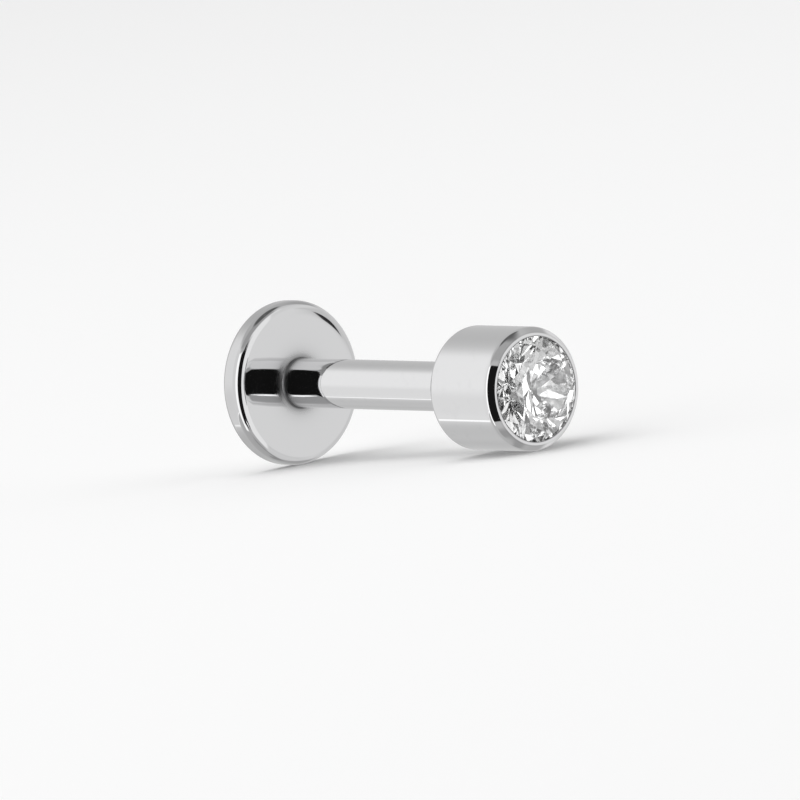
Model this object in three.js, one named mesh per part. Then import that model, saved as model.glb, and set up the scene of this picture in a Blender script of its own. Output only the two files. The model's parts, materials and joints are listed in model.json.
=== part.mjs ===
// A flat-back labret stud: a disc with its post, a bezel cup that plugs into the post, and a round
// brilliant stone. Millimetres, +Z up.
//
// The stud lies on its side on the XY plane, as an unworn one does: the rim of the disc and the
// front edge of the cup both touch the plane, and the stone points towards +X. The origin is the
// bottom centre of the stud's box.
//
// Every piece is first drawn in the stud's own frame, with its axis along +Y, the heights along it
// counted from the back face of the disc. One group then lays all of them down together.

import * as THREE from "three";

// A rounded edge is a run of arcs that pass smoothly into one another, each given by its radius
// and the degrees it turns. The disc's front is turned down a little towards its rim.

// Disc and post
const DISC_RADIUS = 2.0;
const DISC_THICKNESS = 0.69;
const DISC_BACK_EDGE = [{ radius: 0.24, turn: 90 }];
const DISC_FRONT_EDGE = [
  { radius: 0.26, turn: 35.5 },
  { radius: 0.158, turn: 32 },
  { radius: 1.2, turn: 3.5 },
  { radius: 0.16, turn: 16 },
  { radius: 3, turn: 3 },
];
const POST_RADIUS = 0.6;
const WORN_LENGTH = 6.27;
const NECK_FILLET = [
  { radius: 0.4, turn: 14 },
  { radius: 0.03, turn: 62 },
  { radius: 0.4, turn: 14 },
];
const POST_END_CHAMFER = 0.03;

// Cup, with its plain pin
const CUP_RADIUS = 1.5;
const CUP_LENGTH = 2.24;
const CUP_BACK_EDGE = [{ radius: 0.17, turn: 90 }];
const CUP_FRONT_EDGE = [
  { radius: 0.14, turn: 40.5 },
  { radius: 3, turn: 3 },
  { radius: 0.03, turn: 46.5 },
];
const LIP_OPENING_RADIUS = 1.295;
const SEAT_BORE_RADIUS = 1.05;
const CUP_FLOOR_THICKNESS = 0.7;
const PIN_RADIUS = 0.45;
const PIN_LENGTH = 2.0;
const PIN_CHAMFER = 0.08;
const SHOULDER_RADIUS = 0.61;
const SHOULDER_HEIGHT = 0.03;

// Stone
const STONE_RADIUS = 1.34;
const TABLE_RATIO = 0.57;
const CROWN_ANGLE = THREE.MathUtils.degToRad(33);
const PAVILION_ANGLE = THREE.MathUtils.degToRad(39.5);
const GIRDLE_THICKNESS = 0.07;
const TABLE_ABOVE_LIP = 0.29;
const STAR_REACH = 0.5;
const LOWER_FACET_REACH = 0.77;
const STONE_TURN = THREE.MathUtils.degToRad(22.5);

// Clearances
const PIECE_GAP = 0.02;
const BORE_EXTRA_DEPTH = 0.2;
const DRILL_POINT_DEPTH = 0.2;

// Fineness
const FLATS_AROUND = 48;
const ARC_STEP = 18;
const GIRDLE_STEPS_PER_FACET = 2;

// Heights along the stud's axis
const CUP_BACK = DISC_THICKNESS + WORN_LENGTH;
const POST_END = CUP_BACK - SHOULDER_HEIGHT - PIECE_GAP;
const LIP = CUP_BACK + CUP_LENGTH;
const TABLE = LIP + TABLE_ABOVE_LIP;

// Sizes of the stone that follow from its angles
const TABLE_RADIUS = STONE_RADIUS * TABLE_RATIO;
const GIRDLE_TOP = TABLE - (STONE_RADIUS - TABLE_RADIUS) * Math.tan(CROWN_ANGLE);
const GIRDLE_BOTTOM = GIRDLE_TOP - GIRDLE_THICKNESS;
const CULET = GIRDLE_BOTTOM - STONE_RADIUS * Math.tan(PAVILION_ANGLE);

const QUARTER = Math.PI / 2;
const FACET_STEP = Math.PI / 8;

const polishedSteel = () =>
  new THREE.MeshStandardMaterial({ color: 0xc9cacb, roughness: 0.08, metalness: 1 });
const clearStone = () =>
  new THREE.MeshStandardMaterial({ color: 0xf2f4f5, roughness: 0.02, metalness: 0 });

/**
 * The points of a run of arcs from 0, 0, as steps of radius and height. The heading is the
 * direction of travel in degrees: 0 outwards, 90 towards the stone, 180 inwards. The turns add to
 * it, or take away from it where the side is -1.
 */
function bend(heading, run, side = 1) {
  const points = [new THREE.Vector2(0, 0)];
  let degrees = heading;
  for (const { radius, turn } of run) {
    const steps = Math.ceil(turn / ARC_STEP);
    const middle = spoke(degrees, -side * radius).add(points.at(-1));
    for (let step = 1; step <= steps; step += 1) {
      points.push(spoke(degrees + (side * turn * step) / steps, side * radius).add(middle));
    }
    degrees += side * turn;
  }
  return points;
}

/** The step from an arc's middle to the point where a traveller on it has the given heading. */
function spoke(degrees, radius) {
  const angle = THREE.MathUtils.degToRad(degrees);
  return new THREE.Vector2(Math.sin(angle), -Math.cos(angle)).multiplyScalar(radius);
}

/** A run of points moved by a radius and a height. */
function moved(points, radius, height) {
  return points.map((point) => new THREE.Vector2(point.x + radius, point.y + height));
}

/** The disc's front edge, from the rim's straight side to the flat face. */
function discFrontEdge() {
  const points = bend(90, DISC_FRONT_EDGE);
  return moved(points, DISC_RADIUS, DISC_THICKNESS - points.at(-1).y);
}

/** The cup's front edge, from its straight side to the flat lip. */
function cupFrontEdge() {
  const points = bend(90, CUP_FRONT_EDGE);
  return moved(points, CUP_RADIUS, LIP - points.at(-1).y);
}

/**
 * Turns a profile of radius against height round the axis. A corner between two flats faces
 * straight down, so that the piece touches the plane on the line where a round one does.
 */
function turned(profile) {
  return new THREE.LatheGeometry(profile, FLATS_AROUND);
}

/** The disc, rounded at both edges, with the post standing on it and a blind bore in its end. */
function discAndPost() {
  const back = bend(0, DISC_BACK_EDGE);
  const neck = bend(180, NECK_FILLET, -1);
  const boreRadius = PIN_RADIUS + PIECE_GAP;
  const boreFloor = CUP_BACK - PIN_LENGTH - BORE_EXTRA_DEPTH;
  return turned([
    new THREE.Vector2(0, 0),
    ...moved(back, DISC_RADIUS - back.at(-1).x, 0),
    ...discFrontEdge(),
    ...moved(neck, POST_RADIUS - neck.at(-1).x, DISC_THICKNESS),
    new THREE.Vector2(POST_RADIUS, POST_END - POST_END_CHAMFER),
    new THREE.Vector2(POST_RADIUS - POST_END_CHAMFER, POST_END),
    new THREE.Vector2(boreRadius, POST_END),
    new THREE.Vector2(boreRadius, boreFloor),
    new THREE.Vector2(0, boreFloor - DRILL_POINT_DEPTH),
  ]);
}

/**
 * The straight-sided cup: pin and low shoulder behind, a rounded bevel in front, a thin lip over
 * the stone, a cone seat. The shoulder meets the post's end, so that nothing overhangs the cup's
 * back face.
 */
function cupAndPin() {
  const wallRadius = STONE_RADIUS + PIECE_GAP;
  const crownSlope = Math.tan(CROWN_ANGLE);
  const lipEdge = TABLE - (LIP_OPENING_RADIUS - TABLE_RADIUS) * crownSlope + 2 * PIECE_GAP;
  const lipRoot = lipEdge - (wallRadius - LIP_OPENING_RADIUS) * crownSlope;
  const seatTop = GIRDLE_BOTTOM - PIECE_GAP;
  const seatBottom = seatTop - (wallRadius - SEAT_BORE_RADIUS) * Math.tan(PAVILION_ANGLE);
  const pinTip = CUP_BACK - PIN_LENGTH;
  const back = bend(0, CUP_BACK_EDGE);
  return turned([
    new THREE.Vector2(0, pinTip),
    new THREE.Vector2(PIN_RADIUS - PIN_CHAMFER, pinTip),
    new THREE.Vector2(PIN_RADIUS, pinTip + PIN_CHAMFER),
    new THREE.Vector2(PIN_RADIUS, CUP_BACK - SHOULDER_HEIGHT),
    new THREE.Vector2(SHOULDER_RADIUS, CUP_BACK - SHOULDER_HEIGHT),
    new THREE.Vector2(SHOULDER_RADIUS, CUP_BACK),
    ...moved(back, CUP_RADIUS - back.at(-1).x, CUP_BACK),
    ...cupFrontEdge(),
    new THREE.Vector2(LIP_OPENING_RADIUS, LIP),
    new THREE.Vector2(LIP_OPENING_RADIUS, lipEdge),
    new THREE.Vector2(wallRadius, lipRoot),
    new THREE.Vector2(wallRadius, seatTop),
    new THREE.Vector2(SEAT_BORE_RADIUS, seatBottom),
    new THREE.Vector2(SEAT_BORE_RADIUS, CUP_BACK + CUP_FLOOR_THICKNESS),
    new THREE.Vector2(0, CUP_BACK + CUP_FLOOR_THICKNESS),
  ]);
}

/** A point of the stone at a radius, a height and an angle counted in sixteenths of a turn. */
function stonePoint(radius, height, sixteenths) {
  const angle = sixteenths * FACET_STEP + STONE_TURN;
  return new THREE.Vector3(radius * Math.sin(angle), height, radius * Math.cos(angle));
}

/** The height at which the plane through three points passes over a place given by its x and z. */
function heightOnPlane(a, b, c, place) {
  const plane = new THREE.Plane().setFromCoplanarPoints(a, b, c);
  return -(plane.normal.x * place.x + plane.normal.z * place.z + plane.constant) / plane.normal.y;
}

/** The round edge of one girdle facet: points on the girdle circle that lie in the facet's plane. */
function girdleArc(tip, height, from, to) {
  const start = stonePoint(STONE_RADIUS, height, from);
  const end = stonePoint(STONE_RADIUS, height, to);
  const points = [start];
  for (let step = 1; step < GIRDLE_STEPS_PER_FACET; step += 1) {
    const between = from + ((to - from) * step) / GIRDLE_STEPS_PER_FACET;
    const point = stonePoint(STONE_RADIUS, height, between);
    point.y = heightOnPlane(tip, start, end, point);
    points.push(point);
  }
  points.push(end);
  return points;
}

/** A round brilliant: table, 8 stars, 8 kites, 16 upper and 16 lower girdle facets, 8 mains. */
function brilliant() {
  const corners = [];
  const facet = (...points) => {
    for (let i = 1; i < points.length - 1; i += 1) {
      corners.push(points[0], points[i], points[i + 1]);
    }
  };
  const starRadius = TABLE_RADIUS + STAR_REACH * (STONE_RADIUS - TABLE_RADIUS);
  const starHeight =
    TABLE - (starRadius * Math.cos(FACET_STEP) - TABLE_RADIUS) * Math.tan(CROWN_ANGLE);
  const lowerRadius = STONE_RADIUS * (1 - LOWER_FACET_REACH);
  const lowerHeight = CULET + lowerRadius * Math.cos(FACET_STEP) * Math.tan(PAVILION_ANGLE);
  const culet = stonePoint(0, CULET, 0);
  const table = [];
  for (let main = 0; main < 16; main += 2) {
    const tableCorner = stonePoint(TABLE_RADIUS, TABLE, main);
    const star = stonePoint(starRadius, starHeight, main + 1);
    const lowerTip = stonePoint(lowerRadius, lowerHeight, main + 1);
    const kiteFoot = stonePoint(STONE_RADIUS, GIRDLE_TOP, main);
    const mainFoot = stonePoint(STONE_RADIUS, GIRDLE_BOTTOM, main);
    table.push(tableCorner);
    facet(tableCorner, star, stonePoint(TABLE_RADIUS, TABLE, main + 2));
    facet(tableCorner, stonePoint(starRadius, starHeight, main - 1), kiteFoot, star);
    facet(culet, lowerTip, mainFoot, stonePoint(lowerRadius, lowerHeight, main - 1));
    for (const half of [0, 1]) {
      const upper = girdleArc(star, GIRDLE_TOP, main + half, main + half + 1);
      const lower = girdleArc(lowerTip, GIRDLE_BOTTOM, main + half, main + half + 1);
      facet(star, ...upper);
      facet(lowerTip, ...lower.toReversed());
      for (let i = 1; i < upper.length; i += 1) {
        facet(upper[i - 1], lower[i - 1], lower[i], upper[i]);
      }
    }
  }
  facet(...table);
  const geometry = new THREE.BufferGeometry().setFromPoints(corners);
  geometry.computeVertexNormals();
  return geometry;
}

function piece(name, geometry, material) {
  const mesh = new THREE.Mesh(geometry, material);
  mesh.name = name;
  return mesh;
}

/** The angle that brings the lowest points of the disc's rim and the cup's front edge level. */
function restingTilt() {
  const apart = cupFrontEdge()[0].y - discFrontEdge()[0].y;
  return Math.atan2(DISC_RADIUS - CUP_RADIUS, apart);
}

const stud = new THREE.Group();
stud.add(piece("disc_post", discAndPost(), polishedSteel()));
stud.add(piece("bezel_cup", cupAndPin(), polishedSteel()));
stud.add(piece("stone", brilliant(), clearStone()));
stud.rotation.z = -QUARTER - restingTilt();

const laid = new THREE.Group();
laid.add(stud);
laid.rotation.x = QUARTER;

const assembly = new THREE.Group();
assembly.add(laid);
assembly.updateMatrixWorld(true);
const box = new THREE.Box3().setFromObject(assembly, true);
const middle = box.getCenter(new THREE.Vector3());
laid.position.set(-middle.x, -middle.y, -box.min.z);

export default assembly;
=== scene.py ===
"""A flat-back labret stud lying on its side: a polished steel disc with its post, a bezel cup
plugged into the post, and a clear round brilliant in the cup's mouth.

Both metal pieces are turned, so each is a profile of height and radius carried round the stud's
axis. The stone is a set of flat facets whose corners lie on a few named circles. All places along
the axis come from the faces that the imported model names, and all sizes are in metres.
"""

import json
import math

import bpy
import numpy as np
from mathutils import Matrix, Vector


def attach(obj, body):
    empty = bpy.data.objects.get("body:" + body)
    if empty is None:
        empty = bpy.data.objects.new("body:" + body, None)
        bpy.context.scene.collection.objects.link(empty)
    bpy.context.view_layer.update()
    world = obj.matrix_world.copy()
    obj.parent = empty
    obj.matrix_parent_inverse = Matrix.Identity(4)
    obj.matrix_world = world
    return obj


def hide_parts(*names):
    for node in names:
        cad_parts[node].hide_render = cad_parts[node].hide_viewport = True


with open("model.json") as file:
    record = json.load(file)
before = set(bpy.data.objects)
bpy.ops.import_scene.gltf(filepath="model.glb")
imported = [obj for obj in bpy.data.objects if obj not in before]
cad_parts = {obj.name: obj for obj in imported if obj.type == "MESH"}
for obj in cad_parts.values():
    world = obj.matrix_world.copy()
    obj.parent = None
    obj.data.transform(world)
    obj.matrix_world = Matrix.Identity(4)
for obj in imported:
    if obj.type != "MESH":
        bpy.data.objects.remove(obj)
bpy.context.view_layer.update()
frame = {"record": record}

MM = 0.001

# Disc and post. A rounded edge is a run of arcs, each a radius in millimetres and a turn in degrees.
DISC_RADIUS = 2.0 * MM
DISC_BACK_EDGE = [(0.24, 90)]
DISC_FRONT_EDGE = [(0.26, 35.5), (0.158, 32), (1.2, 3.5), (0.16, 13.5), (2.2, 4.2), (20, 1.3)]
POST_RADIUS = 0.6 * MM
NECK_FILLET = [(0.4, 14), (0.03, 62), (0.4, 14)]
BORE_PAST_PIN = 0.2 * MM
DRILL_POINT = 0.2 * MM
POST_END_BREAK = 0.015 * MM

# Cup and pin. The lip is flat out to the bevel and drops a little towards the stone.
CUP_RADIUS = 1.5 * MM
CUP_LENGTH = 2.24 * MM
CUP_BACK_EDGE = [(0.17, 90)]
CUP_FRONT_EDGE = [(0.14, 40.5), (3, 3), (0.03, 46.5)]
LIP_FLAT_RADIUS = 1.297 * MM
LIP_RADIUS = 1.265 * MM
LIP_INNER_DROP = 0.008 * MM
LIP_BREAK = LIP_INNER_DROP / 4
SEAT_BORE_RADIUS = 1.05 * MM
CUP_FLOOR = 0.7 * MM
PIN_RADIUS = 0.45 * MM
PIN_LENGTH = 2.0 * MM
PIN_CHAMFER = 0.08 * MM
SHOULDER_RADIUS = 0.61 * MM
SHOULDER_HEIGHT = 0.03 * MM
SHOULDER_BREAK = SHOULDER_HEIGHT / 4

# Stone. The angles round its axis are counted in sixteenths of a turn.
STONE_RADIUS = 1.34 * MM
TABLE_RATIO = 0.57
CROWN_ANGLE = math.radians(33)
PAVILION_ANGLE = math.radians(39.5)
GIRDLE_THICKNESS = 0.07 * MM
TABLE_ABOVE_LIP = 0.29 * MM
STAR_REACH = 0.5
LOWER_FACET_REACH = 0.77
STONE_TURN = math.radians(22.5)
STONE_IOR = 2.2
SIXTEENTH = math.pi / 8

# Clearances and fineness. Along an arc, points are an arc step in degrees or an arc spacing apart,
# whichever is less, and the spacing is short enough for with_rings to leave them as they are.
PIECE_GAP = 0.02 * MM
STEPS_AROUND = 288
RING_SPACING = 0.1 * MM
RING_MARGIN = 0.004 * MM
CORNER_STEPS = 10
ARC_STEP = 2.5
ARC_SPACING = 3.5 * RING_MARGIN
ARC_POINTS_AT_LEAST = 6
GIRDLE_STEPS = 8
WELD = 0.00001 * MM

# Where the steel is worn or unbuffed, and where shade is painted on it at the neck and round the lip.
# A patch is its strength and its reach.
EDGE_WEAR_WIDTH = 0.05 * MM
NECK_CORNER_REACH = 0.16 * MM
# Painted shade round the neck: halos over the post and the disc, a shade at the foot and a dark line
# beside it
HALO_ON_POST = (0.35, 0.22 * MM)
HALO_ON_DISC = (0.55, 0.14 * MM)
FOOT_SHADE = (0.26, 0.07 * MM)
FOOT_LINE = (0.20, 0.045 * MM)
FOOT_LINE_AWAY = 0.09 * MM
LIP_FINISH_DEPTH = 0.03 * MM
LIP_DULLNESS = 0.5
LIP_SHADE = (0.88, 0.02 * MM)

# Steel and stone. Noise scales are per metre. Hairlines are 55 to the millimetre along the outline
# and long round the axis.
BRIGHT_STEEL = (0.70, 0.70, 0.705, 1)
WORN_STEEL = (0.66, 0.66, 0.665, 1)
DULL_STEEL = (0.60, 0.60, 0.605, 1)
SEAT_STEEL = (0.95, 0.95, 0.95, 1)
# The colour of painted shade: the neck's corner and the lip by the stone are darkened towards it
PAINTED_SHADE_TONE = (0.02, 0.02, 0.022, 1)
MIRROR_ROUGHNESS = 0.035
THIN_POLISH_ROUGHNESS = 0.06
NECK_ROUGHNESS = 0.4
HAIRLINE_FINENESS = (55.0, 1.6, 1.6)
HAIRLINE_DEPTH = 0.0001 * MM
WAVE_SCALE = 900.0
SMEAR_SCALE = 2600.0
SMEARS_BETWEEN = (0.52, 0.78)
SMEAR_STRENGTH = 0.6
STONE_HAZE_SCALE = 5200.0
STONE_HAZE_BETWEEN = (0.6, 0.85)
STONE_HAZE_ROUGHNESS = 0.02
STONE_TINT = (0.985, 0.99, 0.99, 1)
WHITE = (1.0, 1.0, 1.0, 1)

# Camera: its angle to the stud's axis, its rise above the floor, and the axis's dip as it is seen
VIEW_ANGLE = math.radians(42)
CAMERA_RISE = math.radians(4.5)
AXIS_DIP = math.radians(1.55)
CAMERA_DISTANCE = 600 * MM
VIEW_WIDTH = 19.32 * MM
AIM_ALONG = 4.3 * MM
AIM_BELOW = 0.352 * MM
SENSOR_WIDTH = 36.0

# Panels of the light tent, in degrees round the view's upright and above its level: sideways 0 is
# at the camera, 90 to the right and -90 to the left. Each fades over its soft width sideways and
# in height, and later rows cover earlier ones.
TENT_PANELS = [
    # name               from    to    low   high  soft  soft  light
    ("behind left low",  -180, -100,   -60,   -36,   1,    8,  0.70),
    ("left wall head",   -129,  -50,   -10,  42.5,  48,   14,  1.10),
    ("left wall",        -131,  -50,   -36,    26,  34,    8,  1.10),
    ("left near",         -88,  -50,   -36,    36,   8,    8,  1.00),
    ("behind right",       96,  160,   -60,    60,  14,   20,  0.54),
    ("right side wall",    96,  160,   -34,    34,  14,   10,  0.90),
    ("below",            -180,  180,   -90,   -62,   1,   10,  0.42),
    ("deep below",       -180,  180,   -90,   -75,   1,    6,  0.60),
    ("below left",       -180,   -6,   -76,   -50,  10,   10,  0.62),
    ("right foot",         60,  101,   -62,   -30,  10,    8,  0.92),
    ("right head",         60,  101,    30,    62,  10,    8,  0.88),
    ("above",             -60,   70,    40,    76,  12,    6,  0.50),
    ("right wall",         56,  108,   -30,    34,  14,   20,  1.05),
    ("upper right",        20,   76,    34,    44,   6,    4,  1.25),
    ("right flank",        38,   66,   -37,    34,   3,    4,  1.25),
    ("left flank",        -50,  -20,   -60,    34,   3,    3,  1.60),
    ("left wall foot",   -131,  -88,   -36,    -6,  20,   16,  0.98),
    ("foot strip left",  -118,  -40, -36.8, -35.4,   4,  0.6,  1.50),
    ("foot strip right",   16, 24.5,   -39,   -36,   2,  0.6,  2.40),
    ("right wall haze",    85,  112,   2.4,    26,   6,    5,  0.84),
    ("dark streak",      86.6, 90.8,  2.75,  6.85, 0.8,  0.8,  0.04),
    ("ceiling gap",      -180,  180,    71,    90,   1,    8,  0.15),
    ("opening left",      -25,   12,   -50,  32.5, 1.5,  1.5,  0.012),
    ("opening right",       2,   22, -35.5,    36, 1.5,  1.5,  0.012),
    ("opening edge",       20,   39, -35.5,    23, 1.5,    3,  0.012),
]
TENT_BACK_LIGHT = 0.64

# The same for light that has come through the stone, whose own sparkle the tent's even light would
# hide: dark and bright cards that only the stone's facets see, over a little fill.
STONE_CARDS = [
    # name               from    to    low   high  soft  soft  light
    ("dark low right",     32,   72,   -54,   -26,   3,    3,  0.03),
    ("dark high right",    40,   80,    26,    54,   3,    3,  0.03),
    ("dark high",           6,   34,    16,    32,   3,    3,  0.03),
    ("bright right",       28,   44,   -20,    20,   3,    3,  2.20),
    ("dark low",           11,   29,   -41,   -23,   3,    3,  0.03),
    ("dark higher",         4,   20,    18,    46,   3,    3,  0.03),
    ("dark high left",    -40,    0,    10,    38,   3,    3,  0.03),
]
STONE_FILL = 0.47

# Floor, backdrop and lamp
FLOOR_REACH = 3.0
FLOOR_COLOUR = (0.93, 0.93, 0.93, 1)
SEEN_BACKDROP = 0.95
LAMP_SIZE = 0.5
LAMP_POWER = 0.88
LAMP_PLACE = (-0.05, -0.1, 0.4)
BOUNCES = 24
SURFACE_BOUNCES = 20


def mount(name):
    """One of the record's flat faces."""
    return next(m for m in frame["record"]["mounts"] if m["name"] == name)


# The stud's axis runs from the middle of the disc's back towards the stone, in the plane y = 0.
AXIS = Vector(mount("disc_front_face")["axis"]).normalized()
BACK = Vector(mount("disc_back_face")["pos_m"]) * Vector((1, 0, 1))
ACROSS = Vector((0, 1, 0))
UPWARD = AXIS.cross(ACROSS)


def along(name):
    """How far along the stud's axis a named face is, from the disc's back."""
    return (Vector(mount(name)["pos_m"]) - BACK).dot(AXIS)


DISC_THICKNESS = along("disc_front_face")
CUP_BACK = along("cup_back_face")
LIP = CUP_BACK + CUP_LENGTH
TABLE = LIP + TABLE_ABOVE_LIP
TABLE_RADIUS = STONE_RADIUS * TABLE_RATIO
GIRDLE_TOP = TABLE - (STONE_RADIUS - TABLE_RADIUS) * math.tan(CROWN_ANGLE)
GIRDLE_BOTTOM = GIRDLE_TOP - GIRDLE_THICKNESS
CULET = GIRDLE_BOTTOM - STONE_RADIUS * math.tan(PAVILION_ANGLE)


# ---------------------------------------------------------------- turned pieces


def arcs(heading, run, side):
    """Points of a run of arcs that pass smoothly into one another, from (0, 0) in the plane of
    height and radius. The heading is an angle from the height's direction; side 1 turns towards
    a greater radius and -1 towards a smaller one. Along an arc, place = middle + radius *
    (sin(heading), -cos(heading))."""
    points = [np.zeros((1, 2))]
    for radius, turn in run:
        length = radius * MM * math.radians(turn)
        by_angle, by_length = int(turn / ARC_STEP) + 1, int(length / ARC_SPACING) + 2
        count = max(ARC_POINTS_AT_LEAST, by_angle, by_length)
        t = heading + side * np.radians(np.linspace(0, turn, count))
        circle = side * radius * MM * np.column_stack((np.sin(t), -np.cos(t)))
        points.append(points[-1][-1] + circle[1:] - circle[0])
        heading = t[-1]
    return np.vstack(points)


def broken_corners(corners, rounding):
    """A line of (height, radius) corners with a small arc instead of each inner corner: the arc
    starts and ends one tangent length from the corner and turns evenly between the two edges."""
    points = [np.array(corners[:1], float)]
    for before, corner, after in zip(corners, corners[1:], corners[2:]):
        before, corner, after = (np.array(p, float) for p in (before, corner, after))
        into = (corner - before) / np.linalg.norm(corner - before)
        out = (after - corner) / np.linalg.norm(after - corner)
        turn = math.acos(np.clip(into @ out, -1, 1))
        reach = rounding * math.tan(turn / 2)
        inward = (out - into) / np.linalg.norm(out - into)
        middle = corner + inward * rounding / math.cos(turn / 2)
        spoke = corner - into * reach - middle
        t = np.linspace(0, turn, CORNER_STEPS)[:, None]
        points.append(middle + spoke * np.cos(t) + into * rounding * np.sin(t))
    points.append(np.array(corners[-1:], float))
    return np.vstack(points)


def with_rings(outline):
    """The outline with its long straight runs divided evenly, and a point just inside each end
    of such a run, so that shading stays flat up to the corners."""
    rings = [outline[:1]]
    for start, end in zip(outline, outline[1:]):
        length = np.linalg.norm(end - start)
        if length < RING_MARGIN / 4:
            continue
        if length > RING_MARGIN * 4:
            count = int(length / RING_SPACING) + 2
            margin = RING_MARGIN / length
            inner = np.linspace(margin, 1 - margin, count)[:, None]
            rings.append(start + (end - start) * inner)
        rings.append(end[None])
    return np.vstack(rings)


def lathe_faces(count):
    """Faces over a number of rings whose points are numbered ring by ring: a quad between each
    two steps of two rings, and a fan of triangles from the first and from the last ring to its
    pole. The two poles come after all the rings."""
    ring, step = np.meshgrid(np.arange(count - 1), np.arange(STEPS_AROUND), indexing="ij")
    here = ring * STEPS_AROUND + step
    beside = ring * STEPS_AROUND + (step + 1) % STEPS_AROUND
    quads = np.stack((here, here + STEPS_AROUND, beside + STEPS_AROUND, beside), axis=-1)
    turn = np.arange(STEPS_AROUND)
    after = (turn + 1) % STEPS_AROUND
    last = (count - 1) * STEPS_AROUND
    pole = np.full(STEPS_AROUND, count * STEPS_AROUND)
    first_cap = np.column_stack((pole, turn, after))
    last_cap = np.column_stack((pole + 1, last + after, last + turn))
    return quads.reshape(-1, 4).tolist() + first_cap.tolist() + last_cap.tolist()


def turned_surface(name, outline, finish):
    """A closed surface of revolution: place = back + height * axis + radius * (cos(angle) *
    across + sin(angle) * upward), with one point at each end of the outline, on the axis. The
    finish gives each ring's values of the layers that the polish reads. The layer lathe_place is
    the run along the outline in millimetres, then the angle's cosine and sine."""
    rings = with_rings(outline)
    wall_rings = rings[1:-1]
    count = len(wall_rings)
    angles = np.arange(STEPS_AROUND) * 2 * math.pi / STEPS_AROUND
    axis, across, upward = (np.array(v) for v in (AXIS, ACROSS, UPWARD))
    spokes = np.cos(angles)[:, None] * across + np.sin(angles)[:, None] * upward
    wall = wall_rings[:, 0, None, None] * axis + wall_rings[:, 1, None, None] * spokes
    poles = rings[[0, -1], 0, None] * axis
    places = np.vstack((wall.reshape(-1, 3), poles)) + np.array(BACK)
    mesh = bpy.data.meshes.new(name)
    mesh.from_pydata(places.tolist(), [], lathe_faces(count))
    mesh.shade_smooth()

    run = np.r_[0, np.cumsum(np.linalg.norm(np.diff(rings, axis=0), axis=1))] / MM
    on_wall = np.column_stack((
        np.repeat(run[1:-1], STEPS_AROUND),
        np.tile(np.cos(angles), count),
        np.tile(np.sin(angles), count),
    ))
    lathe = np.vstack((on_wall, [[run[0], 0, 0], [run[-1], 0, 0]]))
    layer = mesh.attributes.new("lathe_place", "FLOAT_VECTOR", "POINT")
    layer.data.foreach_set("vector", lathe.astype(np.float32).ravel())
    for label, values in finish(rings).items():
        each = np.r_[np.repeat(values[1:-1], STEPS_AROUND), values[[0, -1]]]
        layer = mesh.attributes.new(label, "FLOAT", "POINT")
        layer.data.foreach_set("value", each.astype(np.float32))
    return shown(name, mesh)


def shown(name, mesh):
    """A mesh as an object of the scene, at the origin."""
    mesh.validate()
    mesh.update()
    piece = bpy.data.objects.new(name, mesh)
    bpy.context.scene.collection.objects.link(piece)
    return piece


def edge_wear(rings, edges):
    """How close each ring is to the nearest worn edge: a bell curve of the distance to it."""
    away = np.linalg.norm(rings[:, None] - np.array(edges)[None], axis=2).min(axis=1)
    return np.exp(-((away / EDGE_WEAR_WIDTH) ** 2))


def neck_roughness_and_shade(rings):
    """The foot of the post: where the buff doesn't reach, and the painted shade in its corner. The
    first value is the unpolished corner itself, a bell curve of the distance from it. The second is
    the painted shade, how dark the steel is made: an exponential fall from the corner over the disc
    and along the post, a bell curve at the foot, and a faint line on the post beside it, which is a
    bell curve round its own distance."""
    height, radius = (rings - (DISC_THICKNESS, POST_RADIUS)).T
    away = np.hypot(height, radius)
    on_post = height > radius
    corner = np.exp(-((away / NECK_CORNER_REACH) ** 2))
    strength, reach = np.where(on_post[:, None], HALO_ON_POST, HALO_ON_DISC).T
    halo = strength * np.exp(-away / reach)
    strength, reach = FOOT_SHADE
    foot = strength * np.exp(-((away / reach) ** 2))
    strength, reach = FOOT_LINE
    line = on_post * strength * np.exp(-(((away - FOOT_LINE_AWAY) / reach) ** 2))
    return corner, halo + foot + line


def disc_and_post():
    """Disc, neck, post and the blind bore in the post's end, in one outline from the disc's back
    to the bore's point."""
    outwards, along_axis, inwards = math.pi / 2, 0, -math.pi / 2
    back = arcs(outwards, DISC_BACK_EDGE, -1)
    back += (0, DISC_RADIUS - back[-1, 1])
    front = arcs(along_axis, DISC_FRONT_EDGE, -1)
    front += (DISC_THICKNESS - front[-1, 0], DISC_RADIUS)
    neck = arcs(inwards, NECK_FILLET, 1)
    neck += (DISC_THICKNESS, POST_RADIUS - neck[-1, 1])
    post_end = CUP_BACK - SHOULDER_HEIGHT - PIECE_GAP
    bore = PIN_RADIUS + PIECE_GAP
    bore_floor = CUP_BACK - PIN_LENGTH - BORE_PAST_PIN
    tip = broken_corners([
        tuple(neck[-1]),
        (post_end, POST_RADIUS),
        (post_end, bore),
        (bore_floor, bore),
        (bore_floor - DRILL_POINT, 0),
    ], POST_END_BREAK)
    outline = np.vstack(([[0, 0]], back, front, neck, tip[1:]))
    worn = [front[len(front) // 4], (post_end, POST_RADIUS)]

    def finish(rings):
        unbuffed, dark = neck_roughness_and_shade(rings)
        return {
            "edge": edge_wear(rings, worn),
            "dull": (rings[:, 0] < DISC_THICKNESS + RING_MARGIN).astype(float),
            "neck": unbuffed,
            # painted shade round the neck's corner
            "painted_shade": dark,
        }

    return turned_surface("turned_disc_and_post", outline, finish)


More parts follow.
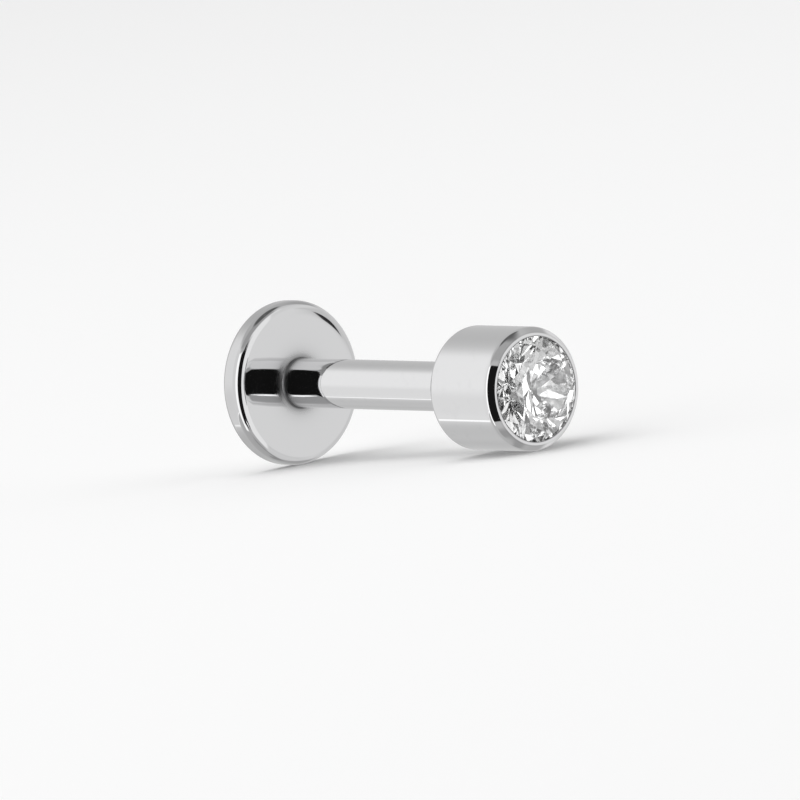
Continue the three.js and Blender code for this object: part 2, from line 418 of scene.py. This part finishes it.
def cup_and_pin():
    """Pin, shoulder, flat back, straight wall, front bevel, lip, seat and cup floor, in one
    outline from the pin's tip to the middle of the cup's floor."""
    wall = STONE_RADIUS + PIECE_GAP
    slope = math.tan(CROWN_ANGLE)
    lip_edge = TABLE - (LIP_RADIUS - TABLE_RADIUS) * slope + PIECE_GAP
    lip_root = lip_edge - (wall - LIP_RADIUS) * slope
    seat_top = GIRDLE_BOTTOM - PIECE_GAP
    seat_bottom = seat_top - (wall - SEAT_BORE_RADIUS) * math.tan(PAVILION_ANGLE)
    floor = CUP_BACK + CUP_FLOOR
    shoulder = CUP_BACK - SHOULDER_HEIGHT
    outwards, along_axis = math.pi / 2, 0
    back = arcs(outwards, CUP_BACK_EDGE, -1)
    back += (CUP_BACK, CUP_RADIUS - back[-1, 1])
    bevel = arcs(along_axis, CUP_FRONT_EDGE, -1)
    bevel += (LIP - bevel[-1, 0], CUP_RADIUS)
    pin = broken_corners([
        (CUP_BACK - PIN_LENGTH, 0),
        (CUP_BACK - PIN_LENGTH, PIN_RADIUS - PIN_CHAMFER),
        (CUP_BACK - PIN_LENGTH + PIN_CHAMFER, PIN_RADIUS),
        (shoulder, PIN_RADIUS),
        (shoulder, SHOULDER_RADIUS),
        (CUP_BACK, SHOULDER_RADIUS),
        tuple(back[0]),
    ], SHOULDER_BREAK)
    mouth = broken_corners([
        tuple(bevel[-1]),
        (LIP, LIP_FLAT_RADIUS),
        (LIP - LIP_INNER_DROP, LIP_RADIUS),
        (lip_edge, LIP_RADIUS),
        (lip_root, wall),
        (seat_top, wall),
        (seat_bottom, SEAT_BORE_RADIUS),
        (floor, SEAT_BORE_RADIUS),
        (floor, 0),
    ], LIP_BREAK)
    outline = np.vstack((pin[:-1], back, bevel, mouth[1:]))
    worn = [(CUP_BACK, CUP_RADIUS), tuple(bevel[0]), (LIP, LIP_RADIUS)]

    def finish(rings):
        height, radius = rings.T
        lip = (height > LIP - LIP_FINISH_DEPTH) & (radius > LIP_RADIUS - RING_MARGIN)
        seat = (radius < wall + RING_MARGIN) & (height > floor - RING_MARGIN)
        strength, reach = LIP_SHADE
        return {
            "edge": edge_wear(rings, worn),
            "dull": LIP_DULLNESS * lip,
            "inside": (seat & (height < lip_edge)).astype(float),
            # painted shade: the lip darkens inwards from its flat towards the stone, for the shaded
            # gap at the stone's edge
            "painted_shade": strength * lip * np.clip((LIP_FLAT_RADIUS - radius) / reach, 0, 1),
        }

    return turned_surface("turned_bezel_cup", outline, finish)


# ---------------------------------------------------------------- stone


def on_circle(radius, height, sixteenths):
    """Points of the stone: radius and height, with the angle round the axis in sixteenths."""
    angle = np.atleast_1d(np.asarray(sixteenths, float)) * SIXTEENTH + STONE_TURN
    spokes = np.cos(angle)[:, None] * np.array(ACROSS) + np.sin(angle)[:, None] * np.array(UPWARD)
    return np.array(BACK) + height * np.array(AXIS) + radius * spokes


def girdle_arc(tip, height, start):
    """The rounded edge of one girdle facet: points on the girdle circle, each moved along the
    axis into the plane through the facet's tip and the arc's two ends."""
    ends = on_circle(STONE_RADIUS, height, (start, start + 1))
    arc = on_circle(STONE_RADIUS, height, start + np.linspace(0, 1, GIRDLE_STEPS + 1))
    normal = np.cross(ends[0] - tip, ends[1] - tip)
    lift = (tip - arc) @ normal / (np.array(AXIS) @ normal)
    return arc + lift[:, None] * np.array(AXIS)


def brilliant():
    """A round brilliant as a list of flat facets, each one polygon of its corner points. Mains
    lie two sixteenths apart, and their slope is the crown's or the pavilion's angle. A corner
    halfway between two mains lies in both, so its height comes from radius * cos(a sixteenth)."""
    halfway = math.cos(SIXTEENTH)
    star_radius = TABLE_RADIUS + STAR_REACH * (STONE_RADIUS - TABLE_RADIUS)
    drop = (star_radius * halfway - TABLE_RADIUS) * math.tan(CROWN_ANGLE)
    low_radius = STONE_RADIUS * (1 - LOWER_FACET_REACH)
    rise = low_radius * halfway * math.tan(PAVILION_ANGLE)
    mains = np.arange(0, 16, 2)
    table = on_circle(TABLE_RADIUS, TABLE, mains)
    stars = on_circle(star_radius, TABLE - drop, mains + 1)
    lows = on_circle(low_radius, CULET + rise, mains + 1)
    tops = on_circle(STONE_RADIUS, GIRDLE_TOP, mains)
    bottoms = on_circle(STONE_RADIUS, GIRDLE_BOTTOM, mains)
    culet = on_circle(0, CULET, 0)[0]
    facets = [list(table)]
    for i in range(8):
        facets.append([table[i], stars[i], table[(i + 1) % 8]])
        facets.append([table[i], stars[i - 1], tops[i], stars[i]])
        facets.append([culet, lows[i], bottoms[i], lows[i - 1]])
        for half in (0, 1):
            upper = girdle_arc(stars[i], GIRDLE_TOP, mains[i] + half)
            lower = girdle_arc(lows[i], GIRDLE_BOTTOM, mains[i] + half)
            facets.append([stars[i], *upper])
            facets.append([lows[i], *lower[::-1]])
            facets.extend(
                [upper[k], lower[k], lower[k + 1], upper[k + 1]] for k in range(GIRDLE_STEPS)
            )
    return flat_faced("cut_stone", facets)


def flat_faced(name, facets):
    """A closed mesh of flat polygons, whose corners are one where they round to the same place."""
    corners = np.vstack(facets)
    grid = np.round(corners / WELD).astype(np.int64)
    _, first, number = np.unique(grid, axis=0, return_index=True, return_inverse=True)
    number = number.ravel()
    ends = np.cumsum([len(f) for f in facets])
    faces = [number[end - len(f):end].tolist() for f, end in zip(facets, ends)]
    mesh = bpy.data.meshes.new(name)
    mesh.from_pydata(corners[first].tolist(), [], faces)
    return shown(name, mesh)


# ---------------------------------------------------------------- node helpers


def add(tree, kind, inputs=(), **settings):
    """A node with its settings, and its inputs as (socket name or number, value or output)."""
    node = tree.nodes.new(kind)
    for key, value in settings.items():
        setattr(node, key, value)
    for key, value in dict(inputs).items():
        if isinstance(value, bpy.types.NodeSocket):
            tree.links.new(value, node.inputs[key])
        else:
            node.inputs[key].default_value = value
    return node


def maths(tree, operation, a, b=0.0):
    """One Math node's result."""
    return add(tree, "ShaderNodeMath", {0: a, 1: b}, operation=operation).outputs[0]


def mixed_numbers(tree, factor, first, second):
    """From the first number to the second. A Mix node's sockets share names, so they go by
    number."""
    sockets = {0: factor, 2: first, 3: second}
    return add(tree, "ShaderNodeMix", sockets, data_type="FLOAT").outputs[0]


def mixed_colours(tree, factor, first, second):
    """From the first colour to the second."""
    sockets = {0: factor, 6: first, 7: second}
    return add(tree, "ShaderNodeMix", sockets, data_type="RGBA").outputs[2]


def eased(tree, value, start, end, low=0.0, high=1.0):
    """From low where the value is at the start to high where it is at the end, smoothly."""
    return add(tree, "ShaderNodeMapRange", {
        "Value": value, "From Min": start, "From Max": end, "To Min": low, "To Max": high,
    }, interpolation_type="SMOOTHSTEP").outputs[0]


def window(tree, value, low, high, soft):
    """1 where the value lies between low and high, fading to 0 over a soft width at both."""
    rising = eased(tree, value, low - soft / 2, low + soft / 2)
    falling = eased(tree, value, high - soft / 2, high + soft / 2, 1.0, 0.0)
    return maths(tree, "MULTIPLY", rising, falling)


def noise(tree, place, scale, detail, roughness, distortion=0.0):
    """One Noise Texture's value."""
    return add(tree, "ShaderNodeTexNoise", {
        "Vector": place, "Scale": scale, "Detail": detail, "Roughness": roughness,
        "Distortion": distortion,
    }).outputs[0]


def layer_value(tree, label):
    """The value of one of a turned piece's layers, or 0 where the piece doesn't have it."""
    return add(tree, "ShaderNodeAttribute", attribute_name=label).outputs["Fac"]


# ---------------------------------------------------------------- materials


def polish_marks_group():
    """Hand-polished metal: hairlines that run round a turned piece, a soft waviness, and faint
    smears. Gives a height, a roughness and a mask of where the polish is thinner."""
    group = bpy.data.node_groups.new("polish_marks", "ShaderNodeTree")
    for label, kind in (("Place", "Vector"), ("Lathe Place", "Vector"), ("Edge", "Float"),
                        ("Hairlines", "Float"), ("Waviness", "Float"), ("Polish", "Float")):
        group.interface.new_socket(label, in_out="INPUT", socket_type="NodeSocket" + kind)
    for label in ("Height", "Roughness", "Thin Polish"):
        group.interface.new_socket(label, in_out="OUTPUT", socket_type="NodeSocketFloat")
    given = group.nodes.new("NodeGroupInput").outputs
    result = group.nodes.new("NodeGroupOutput").inputs

    stretched = add(group, "ShaderNodeVectorMath", {
        0: given["Lathe Place"], 1: HAIRLINE_FINENESS,
    }, operation="MULTIPLY").outputs[0]
    hairlines = noise(group, stretched, scale=1.0, detail=3.0, roughness=0.6)
    waves = noise(group, given["Place"], scale=WAVE_SCALE, detail=1.0, roughness=0.4)
    smears = noise(
        group, given["Place"], scale=SMEAR_SCALE, detail=5.0, roughness=0.65, distortion=0.6
    )
    lines = maths(group, "MULTIPLY", hairlines, given["Hairlines"])
    swell = maths(group, "MULTIPLY", waves, given["Waviness"])
    smeared = eased(group, smears, *SMEARS_BETWEEN, 0.0, SMEAR_STRENGTH)
    worn = maths(group, "MULTIPLY", given["Edge"], smears)
    thin = maths(group, "MAXIMUM", smeared, worn)
    dull = maths(group, "MULTIPLY", thin, THIN_POLISH_ROUGHNESS)
    group.links.new(maths(group, "ADD", lines, swell), result["Height"])
    group.links.new(maths(group, "ADD", given["Polish"], dull), result["Roughness"])
    group.links.new(thin, result["Thin Polish"])
    return group


def polished_steel(name, marks, hairlines, waviness):
    """Mirror-polished steel: hairlines, waviness and edge wear from the shared group, and tones
    from the layers on the turned piece. The dull layer greys it, the inside layer is the bright
    seat under the stone, and the painted shade layer darkens it as painted shade in the neck's corner
    and at the stone's edge."""
    material = bpy.data.materials.new(name)
    material.use_nodes = True
    tree = material.node_tree
    shader = tree.nodes["Principled BSDF"]
    lathe = add(tree, "ShaderNodeAttribute", attribute_name="lathe_place").outputs["Vector"]
    finish = add(tree, "ShaderNodeGroup", node_tree=marks)
    tree.links.new(add(tree, "ShaderNodeTexCoord").outputs["Object"], finish.inputs["Place"])
    tree.links.new(lathe, finish.inputs["Lathe Place"])
    tree.links.new(layer_value(tree, "edge"), finish.inputs["Edge"])
    finish.inputs["Hairlines"].default_value = hairlines
    finish.inputs["Waviness"].default_value = waviness
    finish.inputs["Polish"].default_value = MIRROR_ROUGHNESS

    tone = mixed_colours(tree, finish.outputs["Thin Polish"], BRIGHT_STEEL, WORN_STEEL)
    # the last layer lays painted shade over the tone
    for label, colour in (("dull", DULL_STEEL), ("inside", SEAT_STEEL), ("painted_shade", PAINTED_SHADE_TONE)):
        tone = mixed_colours(tree, layer_value(tree, label), tone, colour)
    unbuffed = maths(tree, "MULTIPLY", layer_value(tree, "neck"), NECK_ROUGHNESS)
    rough = maths(tree, "ADD", finish.outputs["Roughness"], unbuffed)
    bump = add(tree, "ShaderNodeBump", {
        "Height": finish.outputs["Height"], "Distance": HAIRLINE_DEPTH, "Strength": 1.0,
    }).outputs[0]
    tree.links.new(tone, shader.inputs["Base Color"])
    tree.links.new(rough, shader.inputs["Roughness"])
    tree.links.new(bump, shader.inputs["Normal"])
    shader.inputs["Metallic"].default_value = 1.0
    return material


def clear_stone():
    """A colourless stone: clear glass of high index, with a trace of haze from its polishing."""
    material = bpy.data.materials.new("clear_stone")
    material.use_nodes = True
    tree = material.node_tree
    shader = tree.nodes["Principled BSDF"]
    place = add(tree, "ShaderNodeTexCoord").outputs["Object"]
    haze = noise(tree, place, scale=STONE_HAZE_SCALE, detail=4.0, roughness=0.6)
    rough = eased(tree, haze, *STONE_HAZE_BETWEEN, 0.0, STONE_HAZE_ROUGHNESS)
    tree.links.new(mixed_colours(tree, haze, STONE_TINT, WHITE), shader.inputs["Base Color"])
    tree.links.new(rough, shader.inputs["Roughness"])
    shader.inputs["IOR"].default_value = STONE_IOR
    shader.inputs["Transmission Weight"].default_value = 1.0
    return material


# ---------------------------------------------------------------- camera, light and floor


def view_axes():
    """Right, up and back of the view: the camera stands at the view angle to the stud's axis, a
    little above the floor, rolled so that the axis dips slightly to the right."""
    turn = math.asin(
        (math.cos(VIEW_ANGLE) - AXIS.z * math.sin(CAMERA_RISE)) / (AXIS.x * math.cos(CAMERA_RISE))
    )
    back = Vector((
        math.sin(turn) * math.cos(CAMERA_RISE),
        -math.cos(turn) * math.cos(CAMERA_RISE),
        math.sin(CAMERA_RISE),
    ))
    level = (AXIS - back * AXIS.dot(back)).normalized()
    right = level * math.cos(AXIS_DIP) + back.cross(level) * math.sin(AXIS_DIP)
    return right, back.cross(right), back


def set_camera(right, up, back):
    """A long lens aimed at the middle of the stud, at a distance where nothing converges."""
    data = bpy.data.cameras.new("camera")
    data.sensor_width = SENSOR_WIDTH
    data.lens = SENSOR_WIDTH * CAMERA_DISTANCE / VIEW_WIDTH
    data.clip_start = CAMERA_DISTANCE / 10
    data.clip_end = CAMERA_DISTANCE * 20
    camera = bpy.data.objects.new("camera", data)
    aim = BACK + AXIS * AIM_ALONG - up * AIM_BELOW
    turned = Matrix((right, up, back)).transposed().to_4x4()
    camera.matrix_world = Matrix.Translation(aim + back * CAMERA_DISTANCE) @ turned
    bpy.context.scene.collection.objects.link(camera)
    bpy.context.scene.camera = camera


def with_panels(tree, light, panels, sideways, height):
    """The light with each panel of a list laid over it in turn."""
    for _, start, end, low, high, soft_sideways, soft_height, strength in panels:
        here = maths(
            tree, "MULTIPLY",
            window(tree, sideways, start, end, soft_sideways),
            window(tree, height, low, high, soft_height),
        )
        light = mixed_numbers(tree, here, light, strength)
    return light


def light_tent(right, up, back):
    """The studio: a pale tent round the stud with an opening at the camera. Each panel is a
    window in two angles, worked out from the direction in the view's axes."""
    world = bpy.data.worlds.new("light_tent")
    bpy.context.scene.world = world
    world.use_nodes = True
    tree = world.node_tree
    tree.nodes.clear()
    turned = add(tree, "ShaderNodeMapping", {
        "Vector": add(tree, "ShaderNodeTexCoord").outputs["Generated"],
        "Rotation": Matrix((right, up, back)).to_euler(),
    }).outputs[0]
    x, y, z = add(tree, "ShaderNodeSeparateXYZ", {0: turned}).outputs
    sideways = maths(tree, "DEGREES", maths(tree, "ARCTAN2", x, z))
    height = maths(tree, "DEGREES", maths(tree, "ARCSINE", y))
    path = add(tree, "ShaderNodeLightPath").outputs
    mirrored = with_panels(tree, TENT_BACK_LIGHT, TENT_PANELS, sideways, height)
    filled = maths(tree, "ADD", mirrored, STONE_FILL)
    through = with_panels(tree, filled, STONE_CARDS, sideways, height)
    light = mixed_numbers(tree, path["Is Transmission Ray"], mirrored, through)
    strength = mixed_numbers(tree, path["Is Camera Ray"], light, SEEN_BACKDROP)
    shader = add(tree, "ShaderNodeBackground", {"Color": WHITE, "Strength": strength})
    result = add(tree, "ShaderNodeOutputWorld")
    tree.links.new(shader.outputs[0], result.inputs["Surface"])


def pale_floor():
    """A plain pale floor under the stud. The metal mirrors the tent alone, so that the floor
    doesn't grey it from below."""
    corners = [(x * FLOOR_REACH, y * FLOOR_REACH, 0) for x, y in ((-1, -1), (1, -1), (1, 1), (-1, 1))]
    mesh = bpy.data.meshes.new("pale_floor")
    mesh.from_pydata(corners, [], [(0, 1, 2, 3)])
    floor = shown("pale_floor", mesh)
    material = bpy.data.materials.new("pale_floor")
    material.use_nodes = True
    shader = material.node_tree.nodes["Principled BSDF"]
    shader.inputs["Base Color"].default_value = FLOOR_COLOUR
    shader.inputs["Roughness"].default_value = 0.9
    shader.inputs["Specular IOR Level"].default_value = 0.0
    mesh.materials.append(material)
    floor.visible_glossy = False
    floor.visible_transmission = False


def overhead_light():
    """A large soft light over the floor, which the polished metal and the stone don't mirror."""
    data = bpy.data.lights.new("overhead", "AREA")
    data.shape = "DISK"
    data.size = LAMP_SIZE
    data.energy = LAMP_POWER
    lamp = bpy.data.objects.new("overhead", data)
    lamp.location = LAMP_PLACE
    lamp.rotation_euler = (-Vector(LAMP_PLACE)).to_track_quat("-Z", "Y").to_euler()
    lamp.visible_glossy = False
    lamp.visible_transmission = False
    bpy.context.scene.collection.objects.link(lamp)


# ---------------------------------------------------------------- the stud

right, up, back = view_axes()
set_camera(right, up, back)
light_tent(right, up, back)
pale_floor()
overhead_light()

marks = polish_marks_group()
disc_polish = polished_steel("disc_polish", marks, hairlines=0.35, waviness=2.0)
cup_polish = polished_steel("cup_polish", marks, hairlines=0.25, waviness=1.0)
pieces = [
    (disc_and_post(), "disc_post", "polished_steel", disc_polish),
    (cup_and_pin(), "bezel_cup", "polished_steel", cup_polish),
    (brilliant(), "stone", "clear_stone", clear_stone()),
]
for piece, node, slot, material in pieces:
    piece.data.materials.append(material)
    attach(piece, "root")
    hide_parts(node)

scene = bpy.context.scene
scene.view_settings.view_transform = "Standard"
scene.cycles.max_bounces = BOUNCES
scene.cycles.glossy_bounces = SURFACE_BOUNCES
scene.cycles.transmission_bounces = SURFACE_BOUNCES
